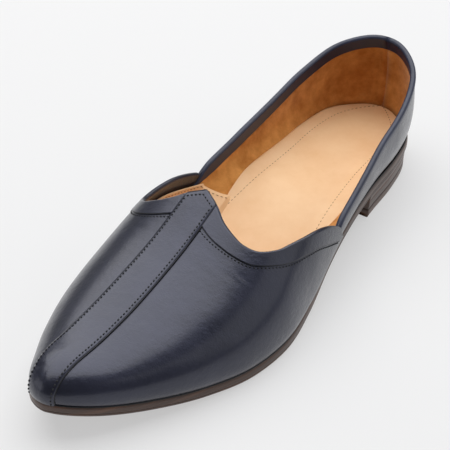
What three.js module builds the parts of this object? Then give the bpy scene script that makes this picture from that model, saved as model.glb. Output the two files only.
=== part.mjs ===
// A jutti: a pointed slip-on of burnished leather, the left shoe of its pair.
// Millimetres. Toe towards -Y, heel towards +Y, lateral side towards +X, Z up.

import * as THREE from 'three';

// Main sizes of the shoe
const LENGTH = 298;
const BALL_WIDTH = 98.3;
const RIDGE_HEIGHT = 80;
const TOE_SPRING = 16.8;
const SPRING_REACH = 0.3;
const HEEL_LIFT = 14;
const SHANK_FROM = 0.4;
const SHANK_TO = 0.68;

// Leather
const WALL = 2.4;
const QUARTER_STEP = 1.0;
const RIM_ROUND = 0.8;
const GAP = 0.3;
const STRIP_WIDTH = 18.4;
const STRIP_LEATHER = 0.9;
const STRIP_CLEAR = 0.45;
const STRIP_FOOT = 0.09;
const BAND_LEATHER = 0.8;

// Binding folded over the top edge of the quarters
const BINDING_LEATHER = 0.8;
const BINDING_OUTSIDE = 3;
const BINDING_INSIDE = 6;
const BINDING_START = 1.5;

// Sole, insole and heel
const SOLE = 5.5;
const SOLE_EDGE = 1.2;
const SOLE_ROUND = 1.1;
const SOLE_TOP_ROUND = 0.6;
const INSOLE = 2.2;
const INSOLE_CLEAR = 0.5;
const HEEL_BREAST = 0.745;
const TOP_PIECE = 5;
const HEEL_TAPER = 1.2;

// The last: half widths of the feather line, as shares of BALL_WIDTH
const OUTLINE = {
  at: [0, 0.02, 0.06, 0.12, 0.2, 0.28, 0.36, 0.45, 0.55, 0.65, 0.75, 0.85, 0.93, 0.98, 1],
  lateral: [0, 0.105, 0.208, 0.319, 0.443, 0.533, 0.56, 0.515, 0.446, 0.395, 0.348, 0.32, 0.265, 0.148, 0],
  medial: [0, 0.122, 0.201, 0.302, 0.393, 0.435, 0.44, 0.403, 0.35, 0.319, 0.305, 0.301, 0.257, 0.148, 0],
};

// Height of the ridge over the feather line as a share of RIDGE_HEIGHT
const RIDGE = {
  at: [0.05, 0.1, 0.16, 0.24, 0.32, 0.4, 0.46, 0.6, 0.75, 0.9],
  height: [0.234, 0.271, 0.341, 0.444, 0.548, 0.688, 0.788, 0.925, 0.988, 1],
};

// Line of the ridge and half width of the strip along it, as shares of STRIP_WIDTH
const STRIP = {
  at: [0, 0.05, 0.1, 0.18, 0.28, 0.4, 1],
  aside: [-0.065, -0.152, -0.163, -0.141, -0.098, -0.019, 0],
  half: [0.386, 0.46, 0.482, 0.5, 0.493, 0.486, 0.486],
};

// Fullness of the wall: bulge and height of the widest line as shares of RIDGE_HEIGHT,
// shoulder and crown as shares of the upper part of a section
const WALLS = {
  at: [0, 0.15, 0.35, 0.6, 1],
  lateral: [0.006, 0.028, 0.023, 0.063, 0.038],
  medial: [0.006, 0.023, 0.046, 0.065, 0.038],
  widest: [0.031, 0.069, 0.075, 0.163, 0.275],
  shoulder: [0.64, 0.66, 0.69, 0.66, 0.7],
  crown: [0.58, 0.56, 0.56, 0.5, 0.5],
};
const LOWER_WALL = 0.28;
const TOE_POLE = 17.5;
const HEEL_POLE = 48;
const FAN = 14;

// Top edge of the vamp from the peak of the throat to its rear corner. at is the share of the
// length, up the share of the wall, bandAt and bandUp the lower edge of the collar band,
// from the foot of the line below and bow how late that line bends.
const VAMP_LATERAL = {
  at: [0.411, 0.3955, 0.378, 0.3685, 0.3665, 0.375, 0.399, 0.426, 0.457, 0.49, 0.523, 0.56],
  up: [1, 0.93, 0.868, 0.8, 0.745, 0.68, 0.615, 0.568, 0.517, 0.465, 0.406, 0.328],
  bandAt: [0.37, 0.356, 0.3475, 0.343, 0.3425, 0.352, 0.383, 0.414, 0.448, 0.483, 0.52, 0.571],
  bandUp: [1, 0.94, 0.888, 0.835, 0.755, 0.668, 0.575, 0.512, 0.46, 0.408, 0.343, 0.258],
  from: [0.3, 0.312, 0.322, 0.331, 0.34, 0.352, 0.385, 0.425, 0.47, 0.52, 0.57, 0.615],
  bow: [5, 5, 5, 4.5, 4, 3.2, 2.2, 1.5, 1.2, 1, 1, 1],
};
const VAMP_MEDIAL = {
  at: [0.411, 0.3965, 0.385, 0.378, 0.3755, 0.3785, 0.389, 0.406, 0.4295, 0.457, 0.49, 0.523, 0.557],
  up: [1, 0.915, 0.86, 0.805, 0.74, 0.675, 0.609, 0.562, 0.522, 0.478, 0.43, 0.374, 0.3],
  bandAt: [0.37, 0.357, 0.352, 0.3485, 0.3485, 0.353, 0.364, 0.385, 0.414, 0.445, 0.481, 0.518, 0.568],
  bandUp: [1, 0.925, 0.87, 0.815, 0.748, 0.68, 0.61, 0.53, 0.468, 0.418, 0.366, 0.308, 0.238],
  from: [0.3, 0.312, 0.32, 0.327, 0.336, 0.348, 0.368, 0.392, 0.425, 0.465, 0.51, 0.56, 0.61],
  bow: [5, 5, 5, 4.5, 4, 3.4, 2.6, 2, 1.5, 1.2, 1, 1, 1],
};

// Top edge of the quarters from the vamp's rear corner to the middle of the heel
const QUARTER_LATERAL = {
  at: [0.562, 0.59, 0.641, 0.691, 0.755, 0.815, 0.879, 0.933, 0.973, 1],
  up: [0.327, 0.32, 0.316, 0.323, 0.342, 0.356, 0.381, 0.413, 0.434, 0.446],
  from: [0.617, 0.645, 0.69, 0.735, 0.79, 0.84, 0.893, 0.938, 0.974, 1],
};
const QUARTER_MEDIAL = {
  at: [0.559, 0.59, 0.641, 0.691, 0.755, 0.815, 0.879, 0.933, 0.973, 1],
  up: [0.323, 0.319, 0.316, 0.326, 0.341, 0.356, 0.381, 0.413, 0.434, 0.446],
  from: [0.612, 0.642, 0.69, 0.735, 0.79, 0.84, 0.893, 0.938, 0.974, 1],
};

// Fineness of the faceted forms
const FRONT_LINES = 20;
const LINES_PER_ROW = 2;
const WALL_ROWS = 12;
const STRIP_LINES = 52;
const STRIP_LANES = 6;
const ANGLE_STEP = 3;
const BAND_LANES = 3;
const OUTLINE_LINES = 44;
const HEEL_LINES = 18;

const LATERAL = 1;
const MEDIAL = -1;
const SIDES = [LATERAL, MEDIAL];

// Tables and curves

function curve(xs, ys) {
  const slope = (i) => (ys[i + 1] - ys[i]) / (xs[i + 1] - xs[i]);
  const span = (i) => xs[i + 1] - xs[i];
  const last = xs.length - 1;
  const inner = (i) => (span(i) * slope(i - 1) + span(i - 1) * slope(i)) / (span(i - 1) + span(i));
  const lean = xs.map((_, i) => (i > 0 && i < last ? inner(i) : 0));
  lean[0] = 2 * slope(0) - lean[1];
  lean[last] = 2 * slope(last - 1) - lean[last - 1];
  return (value) => {
    const x = THREE.MathUtils.clamp(value, xs[0], xs[last]);
    let i = 0;
    while (i < last - 1 && x > xs[i + 1]) i += 1;
    const t = (x - xs[i]) / span(i);
    const s = 1 - t;
    const ends = ys[i] * (1 + 2 * t) * s * s + ys[i + 1] * t * t * (1 + 2 * s);
    return ends + span(i) * t * s * (lean[i] * s - lean[i + 1] * t);
  };
}

const angleOf = (share) => Math.acos(1 - 2 * share);
const shareOf = (angle) => (1 - Math.cos(angle)) / 2;
const mix = (a, b, t) => a + (b - a) * t;
const softMax = (a, b) => (a + b + Math.hypot(a - b, FAN)) / 2;
const softMin = (a, b) => (a + b - Math.hypot(a - b, FAN)) / 2;
const bezier = (a, b, c, d, t) => mix(
  mix(mix(a, b, t), mix(b, c, t), t),
  mix(mix(b, c, t), mix(c, d, t), t),
  t,
);

const outlineAngles = OUTLINE.at.map(angleOf);
const halfWidth = {
  [LATERAL]: curve(outlineAngles, OUTLINE.lateral),
  [MEDIAL]: curve(outlineAngles, OUTLINE.medial),
};
const ridgeHeight = curve(RIDGE.at, RIDGE.height);
const ridgeAside = curve(STRIP.at, STRIP.aside);
const stripHalf = curve(STRIP.at, STRIP.half);
const bulge = {
  [LATERAL]: curve(WALLS.at, WALLS.lateral),
  [MEDIAL]: curve(WALLS.at, WALLS.medial),
};
const widest = curve(WALLS.at, WALLS.widest);
const shoulder = curve(WALLS.at, WALLS.shoulder);
const crown = curve(WALLS.at, WALLS.crown);

// The last

function underside(at) {
  const spring = Math.max(0, 1 - at / SPRING_REACH);
  return TOE_SPRING * spring * spring + HEEL_LIFT * THREE.MathUtils.smoothstep(at, SHANK_FROM, SHANK_TO);
}

function feather(angle, side, out = 0) {
  const step = 1e-3;
  const place = (a) => new THREE.Vector2(
    side * BALL_WIDTH * halfWidth[side](THREE.MathUtils.clamp(a, 0, Math.PI)),
    LENGTH * shareOf(a),
  );
  const point = place(angle);
  const along = place(Math.min(angle + step, Math.PI)).sub(place(Math.max(angle - step, 0)));
  if (angle <= 0 || angle >= Math.PI) along.set(side * Math.cos(angle), 0);
  along.normalize();
  return new THREE.Vector2(point.x + side * along.y * out, point.y - side * along.x * out);
}

function last(angle, up, side) {
  const foot = feather(angle, side);
  const at = shareOf(angle);
  const ridgeY = softMin(softMax(foot.y, TOE_POLE), LENGTH - HEEL_POLE);
  const ridgeAt = ridgeY / LENGTH;
  const ridgeX = STRIP_WIDTH * ridgeAside(ridgeAt);
  const rise = underside(ridgeAt) + RIDGE_HEIGHT * ridgeHeight(ridgeAt) - underside(at);
  const across = new THREE.Vector2(ridgeX - foot.x, ridgeY - foot.y);
  const reach = across.length();
  const swell = RIDGE_HEIGHT * bulge[side](at);
  const full = reach + swell;
  const wide = RIDGE_HEIGHT * widest(at);
  const low = Math.min(up / LOWER_WALL, 1);
  const high = Math.max((up - LOWER_WALL) / (1 - LOWER_WALL), 0);
  const lowReach = bezier(reach, reach + swell / 2, full, full, low);
  const radius = up < LOWER_WALL ? lowReach : bezier(full, full, crown(at) * full, 0, high);
  const lowHeight = bezier(0, wide / 8, wide / 2, wide, low);
  const knee = mix(wide, rise, shoulder(at));
  const height = up < LOWER_WALL ? lowHeight : bezier(wide, knee, rise, rise, high);
  across.multiplyScalar((reach - radius) / reach);
  return new THREE.Vector3(foot.x + across.x, foot.y + across.y, underside(at) + SOLE + height);
}

function lastNormal(angle, up, side) {
  const step = 1e-3;
  const a = THREE.MathUtils.clamp(angle, 0.03, Math.PI - 0.03);
  const u = THREE.MathUtils.clamp(up, step, 0.985);
  const alongFoot = last(a + step, u, side).sub(last(a - step, u, side));
  const upWall = last(a, u + step, side).sub(last(a, u - step, side));
  return alongFoot.cross(upWall).multiplyScalar(side).normalize();
}

// Closed solids

class Skin {
  constructor() {
    this.points = [];
    this.normals = [];
    this.layers = [];
    this.faces = [];
    this.seen = new Map();
  }

  // One vertex of the sheet, with the two distances along its normal between which it is solid
  vertex(point, normal, outer, inner) {
    const key = point.toArray().map((c) => Math.round(c * 1e3)).join();
    if (!this.seen.has(key)) {
      this.seen.set(key, this.points.length);
      this.points.push(point);
      this.normals.push(new THREE.Vector3());
      this.layers.push({ outer, inner });
    }
    const index = this.seen.get(key);
    this.normals[index].add(normal);
    return index;
  }

  quad(a, b, c, d) {
    this.face(a, b, c);
    this.face(a, c, d);
  }

  face(a, b, c) {
    if (a !== b && b !== c && c !== a) this.faces.push([a, b, c]);
  }

  grid(rows, side) {
    for (let i = 0; i + 1 < rows.length; i += 1) {
      for (let j = 0; j + 1 < rows[i].length; j += 1) {
        const corners = [rows[i][j], rows[i + 1][j], rows[i + 1][j + 1], rows[i][j + 1]];
        if (side === MEDIAL) corners.reverse();
        this.quad(...corners);
      }
    }
  }

  // Free edges in the order of their faces, each with the corner opposite to it
  freeEdges() {
    const used = new Set(this.faces.flatMap(([a, b, c]) => [`${a},${b}`, `${b},${c}`, `${c},${a}`]));
    const turns = this.faces.flatMap(([a, b, c]) => [[a, b, c], [b, c, a], [c, a, b]]);
    return turns.filter(([a, b]) => !used.has(`${b},${a}`));
  }

  // The sheet laid twice and closed round its free edges, which stand out by the amount rim gives
  thicken(rim = () => 0) {
    const count = this.points.length;
    const lay = (key) => this.points.map((point, i) => {
      const normal = this.normals[i].clone().normalize();
      return point.clone().addScaledVector(normal, this.layers[i][key]);
    });
    const outer = lay('outer');
    const inner = lay('inner');
    const points = [...outer, ...inner];
    const faces = this.faces.flatMap(([a, b, c]) => [[a, b, c], [a + count, c + count, b + count]]);
    const edges = this.freeEdges();
    const away = new Map();
    edges.forEach(([a, b, c]) => {
      const edge = this.points[b].clone().sub(this.points[a]).normalize();
      const out = this.points[a].clone().sub(this.points[c]);
      out.addScaledVector(edge, -out.dot(edge)).normalize();
      [a, b].forEach((i) => away.set(i, (away.get(i) ?? new THREE.Vector3()).add(out)));
    });
    const middle = new Map();
    away.forEach((out, i) => {
      if (rim(this.points[i]) === 0) return;
      middle.set(i, points.length);
      points.push(outer[i].clone().lerp(inner[i], 0.5).addScaledVector(out.normalize(), rim(this.points[i])));
    });
    edges.forEach(([a, b]) => {
      if (middle.has(a) && middle.has(b)) {
        const [ma, mb] = [middle.get(a), middle.get(b)];
        faces.push([b, a, ma], [b, ma, mb], [mb, ma, a + count], [mb, a + count, b + count]);
      } else {
        faces.push([b, a, a + count], [b, a + count, b + count]);
      }
    });
    return solid(points, faces);
  }
}

function solid(points, faces) {
  const geometry = new THREE.BufferGeometry();
  geometry.setAttribute('position', new THREE.Float32BufferAttribute(points.flatMap((p) => p.toArray()), 3));
  geometry.setIndex(faces.flat());
  return geometry;
}

// Rings of points, one inside the other or one over the other, closed by a fan-free lid of rungs
function ladder(rings) {
  const points = rings.flat();
  const size = rings[0].length;
  const faces = [];
  for (let k = 0; k + 1 < rings.length; k += 1) {
    for (let i = 0; i < size; i += 1) {
      const j = (i + 1) % size;
      const [a, b] = [k * size + i, k * size + j];
      faces.push([a, b, b + size], [a, b + size, a + size]);
    }
  }
  const lid = (base, flip) => {
    for (let i = 0, j = size - 1; i + 1 <= j - 1; i += 1, j -= 1) {
      const [a, b, c, d] = [base + i, base + i + 1, base + j - 1, base + j];
      const pair = i + 1 === j - 1 ? [[a, b, d]] : [[a, b, c], [a, c, d]];
      pair.forEach((face) => faces.push(flip ? face.reverse() : face));
    }
  };
  lid(0, true);
  lid((rings.length - 1) * size, false);
  return solid(points, faces);
}

// Upper: vamp and quarters in one shell

function edgeLine(table, key) {
  const rows = table.at.map((_, i) => i);
  return curve(rows, table[key]);
}

// Lines from the feather line to the top edge, toe first
function wallLines(side) {
  const vamp = side === LATERAL ? VAMP_LATERAL : VAMP_MEDIAL;
  const quarter = side === LATERAL ? QUARTER_LATERAL : QUARTER_MEDIAL;
  const lines = [];
  for (let i = 0; i < FRONT_LINES; i += 1) {
    const s = i / FRONT_LINES;
    lines.push({
      at: shareOf(s * angleOf(vamp.at[0])),
      up: 1,
      from: shareOf(s * angleOf(vamp.from[0])),
      bow: mix(1, vamp.bow[0], s ** 3),
      out: 0,
    });
  }
  const follow = (table, out) => {
    const read = ['at', 'up', 'from'].map((key) => edgeLine(table, key));
    const bow = table.bow ? edgeLine(table, 'bow') : () => 1;
    const count = (table.at.length - 1) * LINES_PER_ROW;
    for (let i = 0; i <= count; i += 1) {
      const s = i / LINES_PER_ROW;
      const [at, up, from] = read.map((f) => f(s));
      lines.push({ at, up, from, bow: bow(s), out });
    }
  };
  follow(vamp, 0);
  follow(quarter, -QUARTER_STEP);
  return lines;
}

function onLine(line, v) {
  const at = line.from + (line.at - line.from) * v ** line.bow;
  return [angleOf(THREE.MathUtils.clamp(at, 0, 1)), line.up * v];
}

function upper() {
  const skin = new Skin();
  SIDES.forEach((side) => {
    const rows = wallLines(side).map((line) => {
      const row = [];
      for (let j = 0; j <= WALL_ROWS; j += 1) {
        const [angle, up] = onLine(line, j / WALL_ROWS);
        const normal = lastNormal(angle, up, side);
        row.push(skin.vertex(last(angle, up, side), normal, line.out, -WALL));
      }
      return row;
    });
    skin.grid(rows, side);
  });
  const onTop = (p) => (p.z > underside(p.y / LENGTH) + SOLE + WALL ? RIM_ROUND : 0);
  return skin.thicken(onTop);
}

// Strip over the middle of the vamp, from the peak of the throat to the feather line of the toe

// Goes over the last from a start until the distance from the ridge is the lane's
function passLane(start, way, lane) {
  const side = lane < 0 ? MEDIAL : LATERAL;
  const along = (t) => [start[0] + way[0] * t, Math.max(start[1] + way[1] * t, 0)];
  let [near, far] = [0, 0.9];
  for (let i = 0; i < 40; i += 1) {
    const middle = (near + far) / 2;
    const point = last(...along(middle), side);
    const at = point.y / LENGTH;
    const off = (point.x - STRIP_WIDTH * ridgeAside(at)) * side;
    if (off < Math.abs(lane) * STRIP_WIDTH * stripHalf(at)) near = middle;
    else far = middle;
  }
  return along(near);
}

// Each lane rises from the foot of the strip and then runs back along the ridge. Both the angle
// and the share of the wall grow on the way, so their sum counts the rows.
function stripSpot(s, lane) {
  const peak = VAMP_LATERAL.at[0];
  const shoulderAt = VAMP_LATERAL.at[1];
  const end = angleOf(mix(peak, shoulderAt, Math.abs(lane)) - GAP / LENGTH);
  const [footAngle, footUp] = passLane([0, STRIP_FOOT], [1, 0], lane);
  const [endAngle, endUp] = passLane([end, 1], [0, -1], lane);
  const first = footAngle * ANGLE_STEP + footUp;
  const sum = mix(first, endAngle * ANGLE_STEP + endUp, s);
  const start = [Math.max((sum - 1) / ANGLE_STEP, 0), Math.min(sum, 1)];
  const stride = Math.hypot(1, ANGLE_STEP);
  const [angle, up] = passLane(start, [1 / stride, -ANGLE_STEP / stride], lane);
  return [angle, up, lane < 0 ? MEDIAL : LATERAL];
}

function centreStrip() {
  const skin = new Skin();
  const rows = [];
  for (let i = 0; i <= STRIP_LINES; i += 1) {
    const row = [];
    for (let j = -STRIP_LANES / 2; j <= STRIP_LANES / 2; j += 1) {
      const spot = stripSpot(i / STRIP_LINES, j / (STRIP_LANES / 2));
      row.push(skin.vertex(last(...spot), lastNormal(...spot), GAP + STRIP_LEATHER, STRIP_CLEAR));
    }
    rows.push(row);
  }
  skin.grid(rows, MEDIAL);
  return skin.thicken();
}

// Share of the wall at which a section passes the edge of the strip
function besideStrip(at, side) {
  let [near, far] = [0.7, 1];
  for (let i = 0; i < 40; i += 1) {
    const middle = (near + far) / 2;
    const point = last(angleOf(at), middle, side);
    const share = point.y / LENGTH;
    const off = (point.x - STRIP_WIDTH * ridgeAside(share)) * side;
    if (off > STRIP_WIDTH * stripHalf(share) + GAP) near = middle;
    else far = middle;
  }
  return near;
}

// Collar band of the vamp on one side, between its top edge and the lower edge of the band

function collarBand(side) {
  const table = side === LATERAL ? VAMP_LATERAL : VAMP_MEDIAL;
  const read = ['at', 'up', 'bandAt', 'bandUp'].map((key) => edgeLine(table, key));
  const skin = new Skin();
  const first = LINES_PER_ROW;
  const end = (table.at.length - 1) * LINES_PER_ROW;
  const rows = [];
  for (let i = first; i <= end; i += 1) {
    const [at, up, bandAt, bandUp] = read.map((f) => f(i / LINES_PER_ROW));
    const row = [];
    for (let j = 0; j <= BAND_LANES; j += 1) {
      const v = j / BAND_LANES;
      const share = mix(bandAt, at, v);
      const rise = i === first ? besideStrip(share, side) : mix(bandUp, up, v);
      const spot = [angleOf(share), rise, side];
      row.push(skin.vertex(last(...spot), lastNormal(...spot), GAP + BAND_LEATHER, GAP));
    }
    rows.push(row);
  }
  skin.grid(rows, side);
  return skin.thicken();
}

// Binding folded over the top edge of the quarters, from corner to corner round the heel

function quarterBinding() {
  const stops = [];
  const walk = (side) => {
    const table = side === LATERAL ? QUARTER_LATERAL : QUARTER_MEDIAL;
    const [at, up] = ['at', 'up'].map((key) => edgeLine(table, key));
    const count = (table.at.length - 1) * LINES_PER_ROW;
    const list = [];
    for (let i = 0; i <= count; i += 1) {
      const s = i / LINES_PER_ROW;
      const start = i === 0 ? BINDING_START / LENGTH : 0;
      list.push([angleOf(Math.min(at(s) + start, 1)), up(s), side]);
    }
    return list;
  };
  stops.push(...walk(LATERAL), ...walk(MEDIAL).reverse().slice(1));
  const inside = -WALL - GAP;
  const outside = -QUARTER_STEP + GAP;
  const top = RIM_ROUND + GAP;
  const thick = BINDING_LEATHER;
  const section = [
    [outside, BINDING_OUTSIDE],
    [outside, -top / 2],
    [mix(outside, inside, 0.5), -top - GAP],
    [inside, -top / 2],
    [inside, BINDING_INSIDE],
    [inside - thick, BINDING_INSIDE],
    [inside - thick, -top / 2],
    [mix(outside, inside, 0.5), -top - GAP - thick],
    [outside + thick, -top / 2],
    [outside + thick, BINDING_OUTSIDE],
  ];
  const places = stops.map((stop) => last(...stop));
  const rings = stops.map((stop, i) => {
    const before = places[Math.max(i - 1, 0)];
    const after = places[Math.min(i + 1, places.length - 1)];
    const along = after.clone().sub(before).normalize();
    const normal = lastNormal(...stop);
    const down = normal.clone().cross(along).normalize();
    if (down.z > 0) down.negate();
    const [angle, up, side] = stop;
    const pace = last(angle, up - 0.02, side).distanceTo(places[i]) / 0.02;
    return section.map(([out, drop]) => {
      if (drop < 0) return places[i].clone().addScaledVector(normal, out).addScaledVector(down, drop);
      const lower = [angle, up - drop / pace, side];
      return last(...lower).addScaledVector(lastNormal(...lower), out);
    });
  });
  const size = section.length;
  const faces = [];
  for (let k = 0; k + 1 < rings.length; k += 1) {
    for (let i = 0; i < size; i += 1) {
      const j = (i + 1) % size;
      const [a, b] = [k * size + i, k * size + j];
      faces.push([a, b, b + size], [a, b + size, a + size]);
    }
  }
  const contour = section.map(([x, y]) => new THREE.Vector2(x, y));
  const cap = THREE.ShapeUtils.triangulateShape(contour, []);
  const end = (rings.length - 1) * size;
  const turned = THREE.ShapeUtils.isClockWise(contour);
  cap.forEach(([a, b, c]) => {
    faces.push(turned ? [a, b, c] : [a, c, b]);
    faces.push(turned ? [end + a, end + c, end + b] : [end + a, end + b, end + c]);
  });
  return outward(solid(rings.flat(), faces));
}

// Faces turned about where the solid came out inside out
function outward(geometry) {
  const position = geometry.getAttribute('position');
  const index = [...geometry.index.array];
  const corner = (i) => new THREE.Vector3().fromBufferAttribute(position, index[i]);
  let volume = 0;
  for (let i = 0; i < index.length; i += 3) volume += corner(i).dot(corner(i + 1).cross(corner(i + 2)));
  if (volume < 0) geometry.setIndex(index.reverse());
  return geometry;
}

// Plates that follow the outline: outsole, insole and heel

function ring(out, height, firstAngle, lines) {
  const side = (which) => {
    const list = [];
    for (let i = 0; i <= lines; i += 1) {
      const angle = mix(firstAngle, Math.PI, i / lines);
      const place = feather(angle, which, out);
      list.push(new THREE.Vector3(place.x, place.y, height(THREE.MathUtils.clamp(place.y / LENGTH, 0, 1))));
    }
    return list;
  };
  const lateral = side(LATERAL);
  const medial = side(MEDIAL).reverse();
  const open = firstAngle > 0 ? medial.length : medial.length - 1;
  return [...lateral, ...medial.slice(1, open)];
}

function plate(layers, firstAngle = 0, lines = OUTLINE_LINES) {
  return outward(ladder(layers.map(([out, height]) => ring(out, height, firstAngle, lines))));
}

function outsole() {
  return plate([
    [SOLE_EDGE - SOLE_ROUND, (at) => underside(at)],
    [SOLE_EDGE, (at) => underside(at) + SOLE_ROUND],
    [SOLE_EDGE, (at) => underside(at) + SOLE - GAP - SOLE_TOP_ROUND],
    [SOLE_EDGE - SOLE_TOP_ROUND, (at) => underside(at) + SOLE - GAP],
  ]);
}

function insole() {
  const inset = -WALL - INSOLE_CLEAR;
  return plate([
    [inset, (at) => underside(at) + SOLE],
    [inset, (at) => underside(at) + SOLE + INSOLE],
  ]);
}

function heelStack() {
  const floor = TOP_PIECE + GAP;
  return plate([
    [SOLE_EDGE - HEEL_TAPER, () => floor],
    [SOLE_EDGE - SOLE_TOP_ROUND, (at) => underside(at) - GAP],
  ], angleOf(HEEL_BREAST), HEEL_LINES);
}

function heelTopPiece() {
  return plate([
    [SOLE_EDGE - HEEL_TAPER - SOLE_TOP_ROUND, () => 0],
    [SOLE_EDGE - HEEL_TAPER, () => SOLE_TOP_ROUND],
    [SOLE_EDGE - HEEL_TAPER, () => TOP_PIECE],
  ], angleOf(HEEL_BREAST), HEEL_LINES);
}

// Assembly

const navy = new THREE.MeshStandardMaterial({ name: 'navy_leather', color: 0x3a3f55, roughness: 0.35 });
const navyBand = new THREE.MeshStandardMaterial({ name: 'navy_strip_leather', color: 0x42475e, roughness: 0.35 });
const binding = new THREE.MeshStandardMaterial({ name: 'binding_leather', color: 0x2c3047, roughness: 0.45 });
const tan = new THREE.MeshStandardMaterial({ name: 'tan_lining_leather', color: 0xe3b583, roughness: 0.6 });
const brown = new THREE.MeshStandardMaterial({ name: 'sole_leather', color: 0x4a3328, roughness: 0.5 });
const dark = new THREE.MeshStandardMaterial({ name: 'heel_leather', color: 0x33241d, roughness: 0.6 });

const jutti = new THREE.Group();
jutti.name = 'jutti';

function add(name, geometry, material) {
  const mesh = new THREE.Mesh(geometry, material);
  mesh.name = name;
  jutti.add(mesh);
}

add('upper', outward(upper()), navy);
add('centre_strip', outward(centreStrip()), navyBand);
add('vamp_band_lateral', outward(collarBand(LATERAL)), navyBand);
add('vamp_band_medial', outward(collarBand(MEDIAL)), navyBand);
add('quarter_binding', quarterBinding(), binding);
add('insole', insole(), tan);
add('outsole', outsole(), brown);
add('heel_stack', heelStack(), dark);
add('heel_top_piece', heelTopPiece(), dark);

// The origin sits on the floor under the middle of the bounding box
const box = new THREE.Box3().setFromObject(jutti);
const middle = box.getCenter(new THREE.Vector3());
jutti.children.forEach((mesh) => mesh.geometry.translate(-middle.x, -middle.y, -box.min.z));

export default jutti;
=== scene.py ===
# %% [markdown]
# # A jutti in burnished navy leather
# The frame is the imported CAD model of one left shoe. It gives the place and the size of every
# piece. Each solid is faceted, so this lesson wraps a fine, smooth skin of every leather piece
# over the same last, and gives it the look of the real leather.

# %% The frame
import math

import bmesh
import bpy
import numpy as np
from mathutils import Matrix, Vector


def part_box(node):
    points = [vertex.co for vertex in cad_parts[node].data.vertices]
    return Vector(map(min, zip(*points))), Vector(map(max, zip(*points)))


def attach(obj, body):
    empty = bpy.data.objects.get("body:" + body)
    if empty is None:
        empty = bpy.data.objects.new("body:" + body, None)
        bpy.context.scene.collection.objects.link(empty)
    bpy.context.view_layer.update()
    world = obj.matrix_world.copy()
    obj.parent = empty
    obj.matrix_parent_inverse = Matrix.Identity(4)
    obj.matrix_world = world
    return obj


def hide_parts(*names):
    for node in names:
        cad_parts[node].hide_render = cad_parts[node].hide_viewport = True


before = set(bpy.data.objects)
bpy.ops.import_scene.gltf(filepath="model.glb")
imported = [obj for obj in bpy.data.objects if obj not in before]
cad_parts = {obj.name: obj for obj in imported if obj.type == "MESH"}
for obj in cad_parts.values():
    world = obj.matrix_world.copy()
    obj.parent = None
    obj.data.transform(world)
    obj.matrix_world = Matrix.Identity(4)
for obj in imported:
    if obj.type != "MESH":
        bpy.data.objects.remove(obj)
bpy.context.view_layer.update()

# %% [markdown]
# ## The last
# A shoe is built round a last, a wooden foot. Its shape is known from few numbers: the feather
# line, where the upper meets the sole, the ridge over the instep, and how full the wall is
# between the two. The tables are shares of the sizes above them, so that a smooth curve can
# run through a row of numbers. A grid of points laid on this shape gives each leather piece.

# %% Sizes of the last, in millimetres
LENGTH = 298
BALL_WIDTH = 98.3
RIDGE_HEIGHT = 80
TOE_SPRING = 16.8
SPRING_REACH = 0.3
HEEL_LIFT = 14
SHANK = (0.4, 0.68)
SOLE = 5.5
STRIP_WIDTH = 18.4
LOWER_WALL = 0.28
TOE_POLE = 17.5
HEEL_POLE = 48
FAN = 14
LATERAL, MEDIAL = 1, -1

# %% A smooth curve through a row of a table
def curve(xs, ys):
    xs, ys = np.asarray(xs, float), np.asarray(ys, float)
    span = np.diff(xs)
    slope = np.diff(ys) / span
    lean = np.empty_like(ys)
    lean[1:-1] = (span[1:] * slope[:-1] + span[:-1] * slope[1:]) / (span[:-1] + span[1:])
    lean[0] = 2 * slope[0] - lean[1]
    lean[-1] = 2 * slope[-1] - lean[-2]

    def read(x):
        x = np.clip(x, xs[0], xs[-1])
        i = np.clip(np.searchsorted(xs, x, side="right") - 1, 0, len(span) - 1)
        t = (x - xs[i]) / span[i]
        s = 1 - t
        ends = ys[i] * (1 + 2 * t) * s * s + ys[i + 1] * t * t * (1 + 2 * s)
        return ends + span[i] * t * s * (lean[i] * s - lean[i + 1] * t)

    return read


def mix(a, b, t):
    return a + (b - a) * t


def smooth(low, high, x):
    t = np.clip((x - low) / (high - low), 0, 1)
    return t * t * (3 - 2 * t)


def angle_of(share):
    return np.arccos(1 - 2 * np.clip(share, 0, 1))


def share_of(angle):
    return (1 - np.cos(angle)) / 2

# %% Tables of the last
outline_at = [0, 0.02, 0.06, 0.12, 0.2, 0.28, 0.36, 0.45, 0.55, 0.65, 0.75, 0.85, 0.93, 0.98, 1]
outline_angle = angle_of(np.array(outline_at))
half_width = {
    LATERAL: curve(outline_angle, [0, 0.105, 0.208, 0.319, 0.443, 0.533, 0.56, 0.515, 0.446,
                                   0.395, 0.348, 0.32, 0.265, 0.148, 0]),
    MEDIAL: curve(outline_angle, [0, 0.122, 0.201, 0.302, 0.393, 0.435, 0.44, 0.403, 0.35,
                                  0.319, 0.305, 0.301, 0.257, 0.148, 0]),
}
ridge_height = curve([0.05, 0.1, 0.16, 0.24, 0.32, 0.4, 0.46, 0.6, 0.75, 0.9],
                     [0.234, 0.271, 0.341, 0.444, 0.548, 0.688, 0.788, 0.925, 0.988, 1])
strip_at = [0, 0.05, 0.1, 0.18, 0.28, 0.4, 1]
ridge_aside = curve(strip_at, [-0.065, -0.152, -0.163, -0.141, -0.098, -0.019, 0])
strip_half = curve(strip_at, [0.386, 0.46, 0.482, 0.5, 0.493, 0.486, 0.486])
wall_at = [0, 0.15, 0.35, 0.6, 1]
bulge = {
    LATERAL: curve(wall_at, [0.006, 0.028, 0.023, 0.063, 0.038]),
    MEDIAL: curve(wall_at, [0.006, 0.023, 0.046, 0.065, 0.038]),
}
widest = curve(wall_at, [0.031, 0.069, 0.075, 0.163, 0.275])
shoulder = curve(wall_at, [0.64, 0.66, 0.69, 0.66, 0.7])
crown = curve(wall_at, [0.58, 0.56, 0.56, 0.5, 0.5])

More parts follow.
